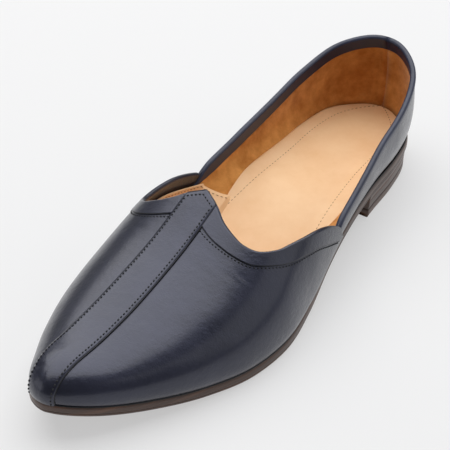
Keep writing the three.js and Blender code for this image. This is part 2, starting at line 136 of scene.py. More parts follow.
# %% A point of the last, and the direction that looks out of it
def underside(at):
    spring = np.maximum(0, 1 - at / SPRING_REACH)
    return TOE_SPRING * spring ** 2 + HEEL_LIFT * smooth(*SHANK, at)


def foot_line(angle, side):
    return side * BALL_WIDTH * half_width[side](angle), LENGTH * share_of(angle)


def feather(angle, side, out=0):
    step = 1e-3
    low, high = np.maximum(angle - step, 0), np.minimum(angle + step, math.pi)
    x, y = foot_line(angle, side)
    (x0, y0), (x1, y1) = foot_line(low, side), foot_line(high, side)
    run = np.hypot(x1 - x0, y1 - y0)
    return x + side * (y1 - y0) / run * out, y - side * (x1 - x0) / run * out


def bezier(a, b, c, d, t):
    s = 1 - t
    return a * s ** 3 + 3 * b * s * s * t + 3 * c * s * t * t + d * t ** 3


def last(angle, up, side):
    x, y = foot_line(angle, side)
    at = share_of(angle)
    ridge_y = (y + TOE_POLE + np.hypot(y - TOE_POLE, FAN)) / 2
    heel_y = LENGTH - HEEL_POLE
    ridge_y = (ridge_y + heel_y - np.hypot(ridge_y - heel_y, FAN)) / 2
    ridge_at = ridge_y / LENGTH
    rise = underside(ridge_at) + RIDGE_HEIGHT * ridge_height(ridge_at) - underside(at)
    dx, dy = STRIP_WIDTH * ridge_aside(ridge_at) - x, ridge_y - y
    reach = np.hypot(dx, dy)
    swell = RIDGE_HEIGHT * bulge[side](at)
    full, wide = reach + swell, RIDGE_HEIGHT * widest(at)
    low = np.minimum(up / LOWER_WALL, 1)
    high = np.maximum((up - LOWER_WALL) / (1 - LOWER_WALL), 0)
    is_low = up < LOWER_WALL
    radius = np.where(is_low, bezier(reach, reach + swell / 2, full, full, low),
                      bezier(full, full, crown(at) * full, 0, high))
    height = np.where(is_low, bezier(0, wide / 8, wide / 2, wide, low),
                      bezier(wide, mix(wide, rise, shoulder(at)), rise, rise, high))
    pull = (reach - radius) / reach
    return np.stack([x + dx * pull, y + dy * pull, underside(at) + SOLE + height], -1)


NEAR_POLE, NEAR_RIDGE = 0.03, 0.985


def last_normal(angle, up, side):
    step = 1e-3
    a = np.clip(angle, NEAR_POLE, math.pi - NEAR_POLE)
    u = np.clip(up, step, NEAR_RIDGE)
    along = last(a + step, u, side) - last(a - step, u, side)
    climb = last(a, u + step, side) - last(a, u - step, side)
    normal = np.cross(along, climb) * side
    return normal / np.linalg.norm(normal, axis=-1, keepdims=True)

# %% [markdown]
# ## Where the last stands in the frame
# The tables start at the tip of the toe. The frame has its origin under the middle of the shoe,
# so the outsole's box in the CAD model gives the step between the two.

# %% From the last's own millimetres to the frame's metres
SOLE_EDGE = 1.2
medial_x, _ = feather(np.linspace(0.2, 2.8, 4000), MEDIAL, SOLE_EDGE)
sole_low = np.array(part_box("outsole")[0]) * 1000
ORIGIN = np.array([medial_x.min() - sole_low[0], -SOLE_EDGE - sole_low[1], 0])
print("The toe's tip lies at", -ORIGIN, "mm")


def to_frame(points):
    return (np.asarray(points) - ORIGIN) * 0.001


def off_last(angle, up, side, out):
    return last(angle, up, side) + last_normal(angle, up, side) * np.asarray(out)[..., None]

# %% [markdown]
# ## A grid that is laid over the last
# Every leather piece starts as a flat grid from `bmesh.ops.create_grid`. Each vertex of the grid
# is then carried to its place on the last: one direction of the grid runs along the piece, the
# other across it. The grid's own two coordinates are kept as a UV map, because seams and dyed
# edges follow the piece and not the room. Both halves of a piece share one bmesh, and
# `remove_doubles` sews them together.

# %% The grid, and the object made of it
def lay_grid(bm, along, across, place, flip=False):
    made = bmesh.ops.create_grid(bm, x_segments=along, y_segments=across, size=0.5)
    verts = made["verts"]
    u = np.clip(np.array([v.co.x for v in verts]) + 0.5, 0, 1)
    v = np.clip(np.array([v.co.y for v in verts]) + 0.5, 0, 1)
    uv = bm.loops.layers.uv.verify()
    faces = {face for vert in verts for face in vert.link_faces}
    for face in faces:
        for loop in face.loops:
            loop[uv].uv = (loop.vert.co.x + 0.5, loop.vert.co.y + 0.5)
    for vert, point in zip(verts, to_frame(place(u, v))):
        vert.co = point
    if flip:
        bmesh.ops.reverse_faces(bm, faces=list(faces))


def to_object(bm, name, material, node=None, thick=0, second=None):
    bmesh.ops.remove_doubles(bm, verts=bm.verts, dist=1e-5)
    mesh = bpy.data.meshes.new(name)
    bm.to_mesh(mesh)
    bm.free()
    mesh.materials.append(material)
    if second:
        mesh.materials.append(second)
    mesh.shade_smooth()
    piece = bpy.data.objects.new(name, mesh)
    bpy.context.collection.objects.link(piece)
    if thick:
        wall = piece.modifiers.new("leather", "SOLIDIFY")
        wall.thickness = thick * 0.001
        wall.offset = -1
    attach(piece, "root")
    if node:
        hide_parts(node)
    print(name, "has", len(mesh.polygons), "faces")

# %% [markdown]
# ## Lines of the top edge
# The vamp is cut in a deep curve round the throat and ends in a corner at the side, where the
# quarter comes out from under it. Both edges are rows of points: a share of the length, and a
# share of the wall. Each point also names the foot of the line below it, so that the grid
# fans out evenly between the toe and the throat.

# %% Tables of the top edges
VAMP = {
    LATERAL: {
        "at": [0.411, 0.3955, 0.378, 0.3685, 0.3665, 0.375, 0.399, 0.426, 0.457, 0.49, 0.523,
               0.56],
        "up": [1, 0.93, 0.868, 0.8, 0.745, 0.68, 0.615, 0.568, 0.517, 0.465, 0.406, 0.328],
        "band_at": [0.37, 0.356, 0.3475, 0.343, 0.3425, 0.352, 0.383, 0.414, 0.448, 0.483, 0.52,
                    0.571],
        "band_up": [1, 0.94, 0.888, 0.835, 0.755, 0.668, 0.575, 0.512, 0.46, 0.408, 0.343, 0.258],
        "foot": [0.3, 0.312, 0.322, 0.331, 0.34, 0.352, 0.385, 0.425, 0.47, 0.52, 0.57, 0.615],
        "bow": [5, 5, 5, 4.5, 4, 3.2, 2.2, 1.5, 1.2, 1, 1, 1],
    },
    MEDIAL: {
        "at": [0.411, 0.3965, 0.385, 0.378, 0.3755, 0.3785, 0.389, 0.406, 0.4295, 0.457, 0.49,
               0.523, 0.557],
        "up": [1, 0.915, 0.86, 0.805, 0.74, 0.675, 0.609, 0.562, 0.522, 0.478, 0.43, 0.378,
               0.322],
        "band_at": [0.37, 0.357, 0.352, 0.3485, 0.3485, 0.353, 0.364, 0.385, 0.414, 0.445, 0.481,
                    0.518, 0.568],
        "band_up": [1, 0.925, 0.87, 0.815, 0.748, 0.68, 0.61, 0.53, 0.468, 0.418, 0.366, 0.308,
                    0.238],
        "foot": [0.3, 0.312, 0.32, 0.327, 0.336, 0.348, 0.368, 0.392, 0.425, 0.465, 0.51, 0.56,
                 0.61],
        "bow": [5, 5, 5, 4.5, 4, 3.4, 2.6, 2, 1.5, 1.2, 1, 1, 1],
    },
}
QUARTER = {
    LATERAL: {
        "at": [0.562, 0.59, 0.641, 0.691, 0.755, 0.815, 0.879, 0.933, 0.973, 1],
        "up": [0.327, 0.32, 0.316, 0.323, 0.342, 0.356, 0.381, 0.413, 0.434, 0.446],
        "foot": [0.617, 0.645, 0.69, 0.735, 0.79, 0.84, 0.893, 0.938, 0.974, 1],
    },
    MEDIAL: {
        "at": [0.559, 0.59, 0.641, 0.691, 0.755, 0.815, 0.879, 0.933, 0.973, 1],
        "up": [0.323, 0.319, 0.316, 0.326, 0.341, 0.356, 0.381, 0.413, 0.434, 0.446],
        "foot": [0.612, 0.642, 0.69, 0.735, 0.79, 0.84, 0.893, 0.938, 0.974, 1],
    },
}
FRONT = 0.5


def read_rows(tables):
    return {side: {key: curve(range(len(row)), row) for key, row in table.items()}
            for side, table in tables.items()}


vamp_row, quarter_row = read_rows(VAMP), read_rows(QUARTER)
last_row = {side: len(VAMP[side]["at"]) - 1 for side in VAMP}


def wall_spot(foot, top, rise, bow, v):
    at = foot + (top - foot) * np.clip(v, 0, 1) ** bow
    return angle_of(at), rise * v


def vamp_spot(u, v, side, rear=1.0):
    front = np.clip(u / FRONT, 0, 1)
    row = np.clip((u - FRONT) / (1 - FRONT), 0, 1) * (last_row[side] + rear - 1)
    read = vamp_row[side]
    is_front = u < FRONT
    top = np.where(is_front, share_of(front * angle_of(VAMP[side]["at"][0])), read["at"](row))
    foot = np.where(is_front, share_of(front * angle_of(VAMP[side]["foot"][0])),
                    read["foot"](row))
    rise = np.where(is_front, 1.0, read["up"](row))
    bow = np.where(is_front, mix(1, VAMP[side]["bow"][0], front ** 3), read["bow"](row))
    return wall_spot(foot, top, rise, bow, v)


def quarter_spot(u, v, side, under=0.0):
    row = u * (len(QUARTER[side]["at"]) - 1)
    read = quarter_row[side]
    tuck = under * (1 - np.clip(row / 2, 0, 1)) ** 2
    return wall_spot(read["foot"](row) - tuck, read["at"](row) - tuck, read["up"](row), 1, v)

# %% [markdown]
# ## Materials
# Calf leather for the upper is dyed through, burnished by hand and waxed. Its colour is a very
# dark navy; what makes it look grey-blue on top is the sheen of the wax, so it is modelled as a
# dark base under a clear coat, with a fine grain in the bump. The linings are undyed vegetable
# tanned leather: smooth side out in front, flesh side (suede) out at the back. The sole's edge
# is stained and waxed, with the layers just showing. Every pattern reads the Object coordinates,
# and its size is given in millimetres on the real hide.

# %% Colours and nodes
def rgb(text):
    channels = [int(text[i:i + 2], 16) / 255 for i in (1, 3, 5)]
    return tuple(c / 12.92 if c <= 0.04045 else ((c + 0.055) / 1.055) ** 2.4
                 for c in channels) + (1.0,)


def add_node(tree, kind, settings=None, values=None, links=None):
    node = tree.nodes.new(kind)
    for key, value in (settings or {}).items():
        setattr(node, key, value)
    for key, value in (values or {}).items():
        node.inputs[key].default_value = value
    for key, source in (links or {}).items():
        tree.links.new(source, node.inputs[key])
    return node


def add_ramp(tree, source, stops):
    ramp = add_node(tree, "ShaderNodeValToRGB", links={"Fac": source})
    points = ramp.color_ramp.elements
    while len(points) < len(stops):
        points.new(0.5)
    for point, (place, color) in zip(points, stops):
        point.position = place
        point.color = rgb(color)
    return ramp.outputs["Color"]


def start_material(name, values):
    material = bpy.data.materials.new(name)
    material.use_nodes = True
    tree = material.node_tree
    tree.nodes.clear()
    shader = add_node(tree, "ShaderNodeBsdfPrincipled", values=values)
    add_node(tree, "ShaderNodeOutputMaterial", links={"Surface": shader.outputs["BSDF"]})
    return material, tree, shader


def object_noise(tree, size_mm, detail=4, rough=0.55, stretch=(1, 1, 1)):
    place = add_node(tree, "ShaderNodeTexCoord").outputs["Object"]
    turned = add_node(tree, "ShaderNodeMapping", values={"Scale": stretch},
                      links={"Vector": place})
    return add_node(tree, "ShaderNodeTexNoise",
                    values={"Scale": 1000 / size_mm, "Detail": detail, "Roughness": rough},
                    links={"Vector": turned.outputs["Vector"]}).outputs["Fac"]


def object_cells(tree, size_mm):
    place = add_node(tree, "ShaderNodeTexCoord").outputs["Object"]
    return add_node(tree, "ShaderNodeTexVoronoi", settings={"feature": "DISTANCE_TO_EDGE"},
                    values={"Scale": 1000 / size_mm},
                    links={"Vector": place}).outputs["Distance"]


def add_bump(tree, shader, layers):
    normal = None
    for height, strength, depth_mm in layers:
        links = {"Height": height}
        if normal:
            links["Normal"] = normal
        normal = add_node(tree, "ShaderNodeBump",
                          values={"Strength": strength, "Distance": depth_mm * 0.001},
                          links=links).outputs["Normal"]
    tree.links.new(normal, shader.inputs["Normal"])

# %% Burnished navy calf, for the vamp, the quarters, the strip and the collar bands
# the dye is cloudy over a hand's breadth, and the wax is rubbed in patches of a fingertip; the
# pores of calf are about 0.2 mm apart, too fine to show here, so they are drawn as coarse as
# 1.1 mm, and the finest scuffs as 0.5 mm
DYE_MM, RUB_MM, WRINKLE_MM, PORE_MM, SCUFF_MM = 34, 9, 2.6, 1.1, 0.5
CALF_ROUGHNESS = (0.3, 0.4)


def burnished_calf(name, dark, light):
    material, tree, shader = start_material(name, {
        "IOR": 1.5, "Specular IOR Level": 0.5, "Specular Tint": rgb("#C6CCF2"),
        "Coat Weight": 0.6, "Coat Roughness": 0.22, "Coat IOR": 1.5})
    cloud = object_noise(tree, DYE_MM, detail=3)
    color = add_ramp(tree, cloud, [(0.36, dark), (0.64, light)])
    tree.links.new(color, shader.inputs["Base Color"])
    polish = object_noise(tree, RUB_MM, detail=5)
    rough = add_node(tree, "ShaderNodeMapRange",
                     values={"From Min": 0.3, "From Max": 0.7, "To Min": CALF_ROUGHNESS[0],
                             "To Max": CALF_ROUGHNESS[1]}, links={"Value": polish})
    tree.links.new(rough.outputs["Result"], shader.inputs["Roughness"])
    # each layer of the bump: its pattern, its strength and its depth in mm
    add_bump(tree, shader, [(object_noise(tree, RUB_MM, detail=4), 0.5, 0.7),
                            (object_noise(tree, WRINKLE_MM, detail=5, rough=0.65), 0.5, 0.45),
                            (object_cells(tree, PORE_MM), 0.5, 0.16),
                            (object_noise(tree, SCUFF_MM, detail=2), 0.4, 0.06)])
    return material


navy_calf = burnished_calf("burnished_navy_calf", "#11121A", "#1C1D29")
strip_calf = burnished_calf("burnished_navy_calf_strip", "#12131B", "#1D1E2B")

# %% Linings, edges, thread
def grained_leather(name, dark, light, roughness, grain_mm, bump=0.2, sheen=0.0, cloud_mm=26):
    """Leather without wax: its tone drifts over cloud_mm, and its surface is as rough as its
    grain; a sheen stands for the raised fibres of suede."""
    material, tree, shader = start_material(name, {
        "IOR": 1.5, "Roughness": roughness, "Sheen Weight": sheen, "Sheen Roughness": 0.4})
    cloud = object_noise(tree, cloud_mm, detail=5, rough=0.65)
    color = add_ramp(tree, cloud, [(0.32, dark), (0.68, light)])
    tree.links.new(color, shader.inputs["Base Color"])
    add_bump(tree, shader, [(object_noise(tree, 7, detail=4), bump, 0.3),
                            (object_noise(tree, grain_mm, detail=3), bump, 0.12)])
    return material


# undyed calf, tanned with bark and glazed: pale, warm, nearly matt
tan_calf = grained_leather("smooth_vegetable_tanned_lining", "#E4B583", "#EDC394", 0.55, 0.8)
# the same tannage, flesh side out and buffed: orange, quite matt, with a patchy nap
suede = grained_leather("vegetable_tanned_suede_lining", "#B06C24", "#DD9A4E", 0.9, 0.6,
                        bump=0.8, sheen=0.25, cloud_mm=11)
# thin skived calf, dyed brown on the inside of the bands and navy for the binding
facing = grained_leather("dark_brown_facing", "#35261F", "#443229", 0.5, 0.8)
binding_calf = grained_leather("navy_binding_calf", "#20253A", "#2B3148", 0.4, 0.7)
# twisted polyester, drawn through wax: dark for the upper, brown for the linings
thread = grained_leather("waxed_navy_thread", "#07080D", "#0C0E16", 0.5, 0.4)
tan_thread = grained_leather("waxed_brown_thread", "#7A4E2A", "#8A5C34", 0.6, 0.4)
# edge ink: a black film on the cut side of the leather, and painted shade on the sole's top
ink_and_shade_black = grained_leather("edge_ink_and_painted_shade", "#050609", "#0A0B10", 0.45, 0.6)

# %% Waxed edge of the sole: layers of leather under a brown stain; its black top line is painted shade, drawn below
LAYER_MM = 2.2


def sole_edge_leather():
    material, tree, shader = start_material("waxed_sole_leather", {
        "IOR": 1.5, "Coat Weight": 0.2, "Coat Roughness": 0.3})
    # the layers of bark-tanned leather are about 2 mm thick and run level along the edge
    layers = object_noise(tree, LAYER_MM, detail=3, stretch=(0.03, 0.03, 1))
    stain = add_ramp(tree, layers, [(0.3, "#36241A"), (0.55, "#4A3022"), (0.75, "#65442F")])
    tree.links.new(stain, shader.inputs["Base Color"])
    shader.inputs["Roughness"].default_value = 0.42
    add_bump(tree, shader, [(layers, 0.5, 0.2), (object_noise(tree, 0.8, detail=3), 0.25, 0.1)])
    return material


sole_leather = sole_edge_leather()
print("materials:", [m.name for m in bpy.data.materials])

# %% [markdown]
# ## Vamp
# The vamp is one piece of calf that is wetted and pulled over the last, so it is smooth and
# tight everywhere, apart from a few soft creases where the foot bends, outside the throat. The
# grid's lines run from the feather line up to the ridge and the top edge, and the creases are
# shallow troughs that are added to the distance from the last.

# %% Soft creases of the vamp
# each crease: start and end as (share of length, share of wall), depth and width in mm
CREASES = [
    ((0.300, 0.880), (0.296, 0.740), 0.12, 1.1),
    ((0.282, 0.860), (0.284, 0.720), 0.10, 1.1),
    ((0.266, 0.830), (0.274, 0.700), 0.08, 1.1),
    ((0.312, 0.800), (0.318, 0.650), 0.11, 1.1),
    ((0.236, 0.840), (0.242, 0.740), 0.07, 1.1),
    ((0.326, 0.720), (0.330, 0.600), 0.08, 1.1),
]
CREASE_WANDER = 0.36


def crease_depth(points, side):
    """How far the creases sink the leather at each point, in mm."""
    depth = np.zeros(len(points))
    if side == MEDIAL:
        return depth
    for start, end, deep, wide in CREASES:
        a, b = (last(angle_of(np.array([at])), np.array([up]), side)[0] for at, up in (start, end))
        way = b - a
        t = np.clip(((points - a) @ way) / (way @ way), 0, 1)
        wander = CREASE_WANDER * np.sin(1.5 * math.pi * t)
        gap = np.abs(np.linalg.norm(points - (a + t[:, None] * way), axis=1) - wander)
        depth += deep * np.exp(-(gap / wide) ** 2) * np.sin(math.pi * np.clip(t, 0.04, 0.96))
    return depth

# %% The vamp's leather
VAMP_THICK, VAMP_TOP = 1.4, 0.998


def vamp_place(side):
    def place(u, v):
        angle, up = vamp_spot(u, np.minimum(v, VAMP_TOP), side)
        return off_last(angle, up, side, -crease_depth(last(angle, up, side), side))
    return place


bm = bmesh.new()
lay_grid(bm, 210, 110, vamp_place(LATERAL))
lay_grid(bm, 180, 90, vamp_place(MEDIAL), flip=True)
to_object(bm, "vamp", navy_calf, node="upper", thick=VAMP_THICK)

# %% [markdown]
# ## Quarters
# The quarters are the low back of the shoe: one strip of the same calf from the vamp's corner
# round the heel. They go in under the vamp, so their grid starts a little ahead of its edge and
# lies 1 mm further in.

# %% The quarters' leather
QUARTER_OUT, QUARTER_UNDER, QUARTER_THICK = -1.0, 0.03, 0.9


def quarter_place(side):
    def place(u, v):
        return off_last(*quarter_spot(u, v, side, under=QUARTER_UNDER), side, QUARTER_OUT)
    return place


bm = bmesh.new()
lay_grid(bm, 110, 40, quarter_place(LATERAL))
lay_grid(bm, 110, 40, quarter_place(MEDIAL), flip=True)
to_object(bm, "quarters", navy_calf, thick=QUARTER_THICK)

# %% [markdown]
# ## Strip over the middle of the vamp
# The strip covers the seam over the instep. Its rear end is cut like a roof over the throat's
# peak; its front end goes down the toe to the sole. It lies on the vamp and is stitched 1.5 mm
# inside each edge. A lane of the grid keeps its share of the strip's width from the toe to the
# throat, and its place is found where the last passes that distance from the middle line. Just
# behind the toe the medial edge has a soft dent.

# %% Where the strip lies
STRIP_FOOT = 0.09
GAP = 0.3
ANGLE_STEP = 3
HALVINGS = 34
LONGEST_PASS = 0.9


def pass_lane(start, way, lane, side):
    """Goes over the last from a start until the distance from the ridge is the lane's."""
    near, far = np.zeros(lane.shape), np.full(lane.shape, LONGEST_PASS)
    for _ in range(HALVINGS):
        middle = (near + far) / 2
        angle, up = start[0] + way[0] * middle, np.maximum(start[1] + way[1] * middle, 0)
        point = last(angle, up, side)
        at = point[..., 1] / LENGTH
        off = (point[..., 0] - STRIP_WIDTH * ridge_aside(at)) * side
        inside = off < lane * STRIP_WIDTH * strip_half(at)
        near, far = np.where(inside, middle, near), np.where(inside, far, middle)
    return start[0] + way[0] * near, np.maximum(start[1] + way[1] * near, 0)


def strip_spot_on(s, lane, side):
    """Each lane rises from its foot, then runs back: angle and height together count its rows."""
    s, lane = np.asarray(s, float), np.abs(np.asarray(lane, float))
    end = angle_of(mix(VAMP[LATERAL]["at"][0], VAMP[LATERAL]["at"][1], lane) - GAP / LENGTH)
    zero, one = np.zeros(lane.shape), np.ones(lane.shape)
    foot_angle, foot_up = pass_lane((zero, one * STRIP_FOOT), (1, 0), lane, side)
    end_angle, end_up = pass_lane((end, one), (0, -1), lane, side)
    first = foot_angle * ANGLE_STEP + foot_up
    total = mix(first, end_angle * ANGLE_STEP + end_up, s)
    start = np.maximum((total - 1) / ANGLE_STEP, 0), np.minimum(total, 1)
    stride = math.hypot(1, ANGLE_STEP)
    return pass_lane(start, (1 / stride, -ANGLE_STEP / stride), lane, side)

# %% The strip's leather
STRIP_OUT, STRIP_THICK = 1.1, 0.9
SIDE_ROUND, END_ROUND = 0.45, 0.3
DENT_AT, DENT_LENGTH, DENT_DEPTH = 0.165, 0.02, 0.25
STRIP_SMOOTHINGS = 3


def strip_place(u, v):
    """u runs from the toe to the throat, v from the medial edge to the lateral one."""
    lane = 2 * np.asarray(v, float) - 1
    edge = SIDE_ROUND * smooth(0.9, 1.0, np.abs(lane)) + END_ROUND * smooth(0.992, 1.0, u)
    dent = DENT_DEPTH * np.exp(-((u - DENT_AT) / DENT_LENGTH) ** 2)
    out = STRIP_OUT - edge - dent * (1 - smooth(-0.95, 0.2, lane))
    halves = {side: off_last(*strip_spot_on(u, lane, side), side, out)
              for side in (LATERAL, MEDIAL)}
    return np.where((lane < 0)[:, None], halves[MEDIAL], halves[LATERAL])


bm = bmesh.new()
lay_grid(bm, 200, 36, strip_place, flip=True)
inner = [vert for vert in bm.verts if not vert.is_boundary]
for _ in range(STRIP_SMOOTHINGS):
    bmesh.ops.smooth_vert(bm, verts=inner, factor=0.5, use_axis_x=True, use_axis_y=True,
                          use_axis_z=True)
to_object(bm, "centre_strip_leather", strip_calf, node="centre_strip",
          thick=STRIP_THICK)

# %% [markdown]
# ## Collar bands
# A band of the same calf is sewn along the throat on each side. It starts under the strip,
# follows the curve of the throat, is folded over the top edge and ends inside as a dark facing.
# The grid goes from the band's lower edge up to the fold, round it, and down inside.

# %% Fold of a leather edge, seen in section
FOLD_SHARE = 0.1
DROP_STEP = 0.02


def fold(v, lower, bulge_share, outer, inner):
    """Share of the way up to the edge, and distance out in mm, round a folded edge."""
    climb = np.clip(v / lower, 0, 1)
    turn = np.clip((v - lower) / FOLD_SHARE, 0, 1) * math.pi
    fall = np.clip((v - lower - FOLD_SHARE) / (1 - FOLD_SHARE - lower), 0, 1)
    share = (1 - bulge_share) * (climb - fall) + bulge_share * np.sin(turn)
    return share, mix(inner, outer, (1 + np.cos(turn)) / 2)


def drop_below(angle, up, side, drop):
    """The share of the wall that lies a drop in mm below another."""
    step = last(angle, up - DROP_STEP, side) - last(angle, up, side)
    return up - drop / (np.linalg.norm(step, axis=-1) / DROP_STEP)

# %% The bands' leather
BAND_START, BAND_BLEND = 1.0, 0.09
BAND_OUT, BAND_IN, BAND_THICK = 0.6, -2.2, 0.7
BAND_LOWER, BAND_BULGE, FACING_FROM = 0.45, 0.11, 0.8
STRIP_COVER, COVER_FROM = 0.5, 0.7


def paint_part(bm, above):
    """Gives the faces past a share of the grid's second direction the second material."""
    uv = bm.loops.layers.uv.verify()
    for face in bm.faces:
        middle = sum(loop[uv].uv.y for loop in face.loops) / len(face.loops)
        face.material_index = 1 if middle > above else 0


def beside_strip(at, side):
    """The share of the wall at which a piece goes in under the strip."""
    near, far = np.full(at.shape, COVER_FROM), np.ones(at.shape)
    for _ in range(HALVINGS):
        middle = (near + far) / 2
        point = last(angle_of(at), middle, side)
        share = point[..., 1] / LENGTH
        off = (point[..., 0] - STRIP_WIDTH * ridge_aside(share)) * side
        outside = off > STRIP_WIDTH * strip_half(share) - STRIP_COVER
        near = np.where(outside, middle, near)
        far = np.where(outside, far, middle)
    return near


def band_row(row, side, rise):
    """Shares of the length and of the wall, at a share of the band's width."""
    read = vamp_row[side]
    return (mix(read["band_at"](row), read["at"](row), rise),
            mix(read["band_up"](row), read["up"](row), rise))


def band_spot(u, side, rise):
    """The same along the band, with its front end moved over to start beside the strip."""
    at, up = band_row(mix(BAND_START, last_row[side], u), side, rise)
    first_at, first_up = band_row(BAND_START, side, rise)
    shift = beside_strip(first_at, side) - first_up
    return at, up + shift * np.clip(1 - u / BAND_BLEND, 0, 1)


def band_place(side):
    def place(u, v):
        rise, out = fold(v, BAND_LOWER, BAND_BULGE, BAND_OUT, BAND_IN)
        at, up = band_spot(u, side, rise)
        return off_last(angle_of(at), np.minimum(up, 1), side, out)
    return place


for side, name in ((LATERAL, "lateral"), (MEDIAL, "medial")):
    bm = bmesh.new()
    lay_grid(bm, 130, 40, band_place(side), flip=side == MEDIAL)
    paint_part(bm, FACING_FROM)
    to_object(bm, f"collar_band_{name}", strip_calf, node=f"vamp_band_{name}",
              thick=BAND_THICK, second=facing)

# %% [markdown]
# ## Binding of the quarters
# The quarters' top edge is bound with a strip of thin calf: a rounded roll outside, then a flat
# leg of 6.5 mm inside. The grid runs round the heel, and its other direction goes over the edge.
# In front the binding dips and runs on as a tail, between the vamp's facing and its lining.

# %% The binding's leather
BINDING_OUTER_LEG, BINDING_INNER_LEG = 4.0, 6.5
BINDING_OUT, BINDING_IN, BINDING_THICK = 0.1, -3.1, 0.6
BINDING_ROLL, BINDING_PRESS = 1.3, 0.9
END_AHEAD, END_DIP = 0.014, 0.03
TAIL, TAIL_AHEAD, TAIL_DIP = 0.1, 0.045, 0.02
TAIL_OUT, TAIL_IN = -3.0, -3.6
LEG_SHARE = 0.3


def binding_place(side):
    """u runs from the end under the vamp to the heel, v from the outer leg to the inner one."""
    def place(u, v):
        read = quarter_row[side]
        tail = np.clip(1 - u / TAIL, 0, 1)
        row = (len(QUARTER[side]["at"]) - 1) * np.clip((u - TAIL) / (1 - TAIL), 0, 1)
        end = np.clip(1 - row, 0, 1) ** 2
        angle = angle_of(read["at"](row) - END_AHEAD * end - TAIL_AHEAD * tail)
        up = read["up"](row) - END_DIP * end - TAIL_DIP * tail
        turn = np.clip((v - LEG_SHARE) / LEG_SHARE, 0, 1) * math.pi
        outer = mix(BINDING_OUT, TAIL_OUT, smooth(0, 0.2, tail))
        inner = mix(BINDING_IN, TAIL_IN, tail)
        out = mix(inner, outer, (1 + np.cos(turn)) / 2)
        leg = np.clip(1 - v / LEG_SHARE, 0, 1)
        out = out - BINDING_PRESS * leg ** 2
        inner_leg = np.clip((v - 2 * LEG_SHARE) / (1 - 2 * LEG_SHARE), 0, 1)
        drop = BINDING_OUTER_LEG * leg - BINDING_ROLL * np.sin(turn)
        drop = drop + BINDING_INNER_LEG * inner_leg
        return off_last(angle, drop_below(angle, up, side, drop), side, out)
    return place


bm = bmesh.new()
lay_grid(bm, 160, 40, binding_place(LATERAL))
lay_grid(bm, 160, 40, binding_place(MEDIAL), flip=True)
to_object(bm, "quarter_binding_leather", binding_calf, node="quarter_binding",
          thick=BINDING_THICK)

# %% [markdown]
# ## Linings
# The front half of the shoe is lined with smooth undyed calf, whose rear edge runs down to the
# sock in a slanted, stitched line. Behind it the lining turns its flesh side out, so that the
# heel doesn't slip: an orange suede. At the waist the foot of both curves in over the sock like
# a cove, up to 15 mm, and its lowest edge sinks through the sock, so that no gap shows.

# %% The linings' leather
LINING_OUT, LINING_THICK = -2.9, 0.6
SUEDE_OUT, SUEDE_THICK = -2.2, 0.5
SOCK_LEVEL = 2.2
LOWEST_UP = 0.004
COVE_HEIGHT, COVE_CURVE = 14, 2.3
FOOT_SINK, FOOT_HEIGHT = 4, 1.6
cove_reach = curve([0.2, 0.3, 0.38, 0.44, 0.5, 0.54, 0.6, 0.65, 0.71, 0.78, 0.9, 0.96, 1],
                   [0, 1, 4.5, 9.5, 15, 14.5, 9, 5.2, 3.6, 3.4, 1.2, 0, 0])


def cove(points, side, at):
    """Moves the foot of a lining inwards, where it turns towards the sock."""
    height = points[:, 2] - underside(at) - SOLE - SOCK_LEVEL
    reach = np.maximum(cove_reach(at), 0)
    points[:, 0] -= side * reach * np.clip(1 - height / COVE_HEIGHT, 0, 1) ** COVE_CURVE
    points[:, 2] -= FOOT_SINK * np.clip(1 - height / FOOT_HEIGHT, 0, 1)
    return points


# at the throat and at its rear end the lining stops below the facing, by shares of the wall
THROAT_TOP, REAR_SHORT = 0.88, 0.1
# its rear edge ends 0.15 of a table row behind the last but one, laps 6 mm over the suede, and
# stands 0.9 mm further in there
REAR_ROW, REAR_LAP, REAR_IN = 0.15, (0.022, 0.02), 0.9


def lining_place(side):
    def place(u, v):
        top = mix(1.0, THROAT_TOP, smooth(0.47, 0.54, u)) - REAR_SHORT * smooth(0.88, 1, u)
        angle, up = vamp_spot(u, v * top, side, rear=REAR_ROW)
        back = smooth(0.86, 1.0, u)
        at = share_of(angle) + back * mix(*REAR_LAP, v)
        points = off_last(angle_of(at), np.maximum(up, LOWEST_UP), side,
                          LINING_OUT - REAR_IN * back)
        return cove(points, side, at)
    return place


bm = bmesh.new()
lay_grid(bm, 110, 50, lining_place(LATERAL))
lay_grid(bm, 110, 50, lining_place(MEDIAL), flip=True)
to_object(bm, "vamp_lining", tan_calf, thick=LINING_THICK)

# %% The suede behind it
SUEDE_UNDER, SUEDE_BELOW = 0.07, 3.0


def suede_place(side):
    def place(u, v):
        angle, up = quarter_spot(u, v, side, under=SUEDE_UNDER * (1 - v ** 3))
        lowered = drop_below(angle, up, side, SUEDE_BELOW * v ** 6)
        points = off_last(angle, np.maximum(lowered, LOWEST_UP), side, SUEDE_OUT)
        return cove(points, side, share_of(angle))
    return place


bm = bmesh.new()
lay_grid(bm, 120, 40, suede_place(LATERAL))
lay_grid(bm, 120, 40, suede_place(MEDIAL), flip=True)
to_object(bm, "quarter_lining_suede", suede, thick=SUEDE_THICK)

# %% [markdown]
# ## Sock
# The sock is the smooth tan leather that the foot stands on. It lies on the insole, follows the
# outline inside the linings, and rises a little where it meets them. Half the grid goes from
# the middle line out to the edge.

# %% The sock's leather
SOCK_INSET, SOCK_RISE, SOCK_THICK = -2.9, 1.6, 1.0
SOCK_ANGLES = (0.001, math.pi - 0.001)


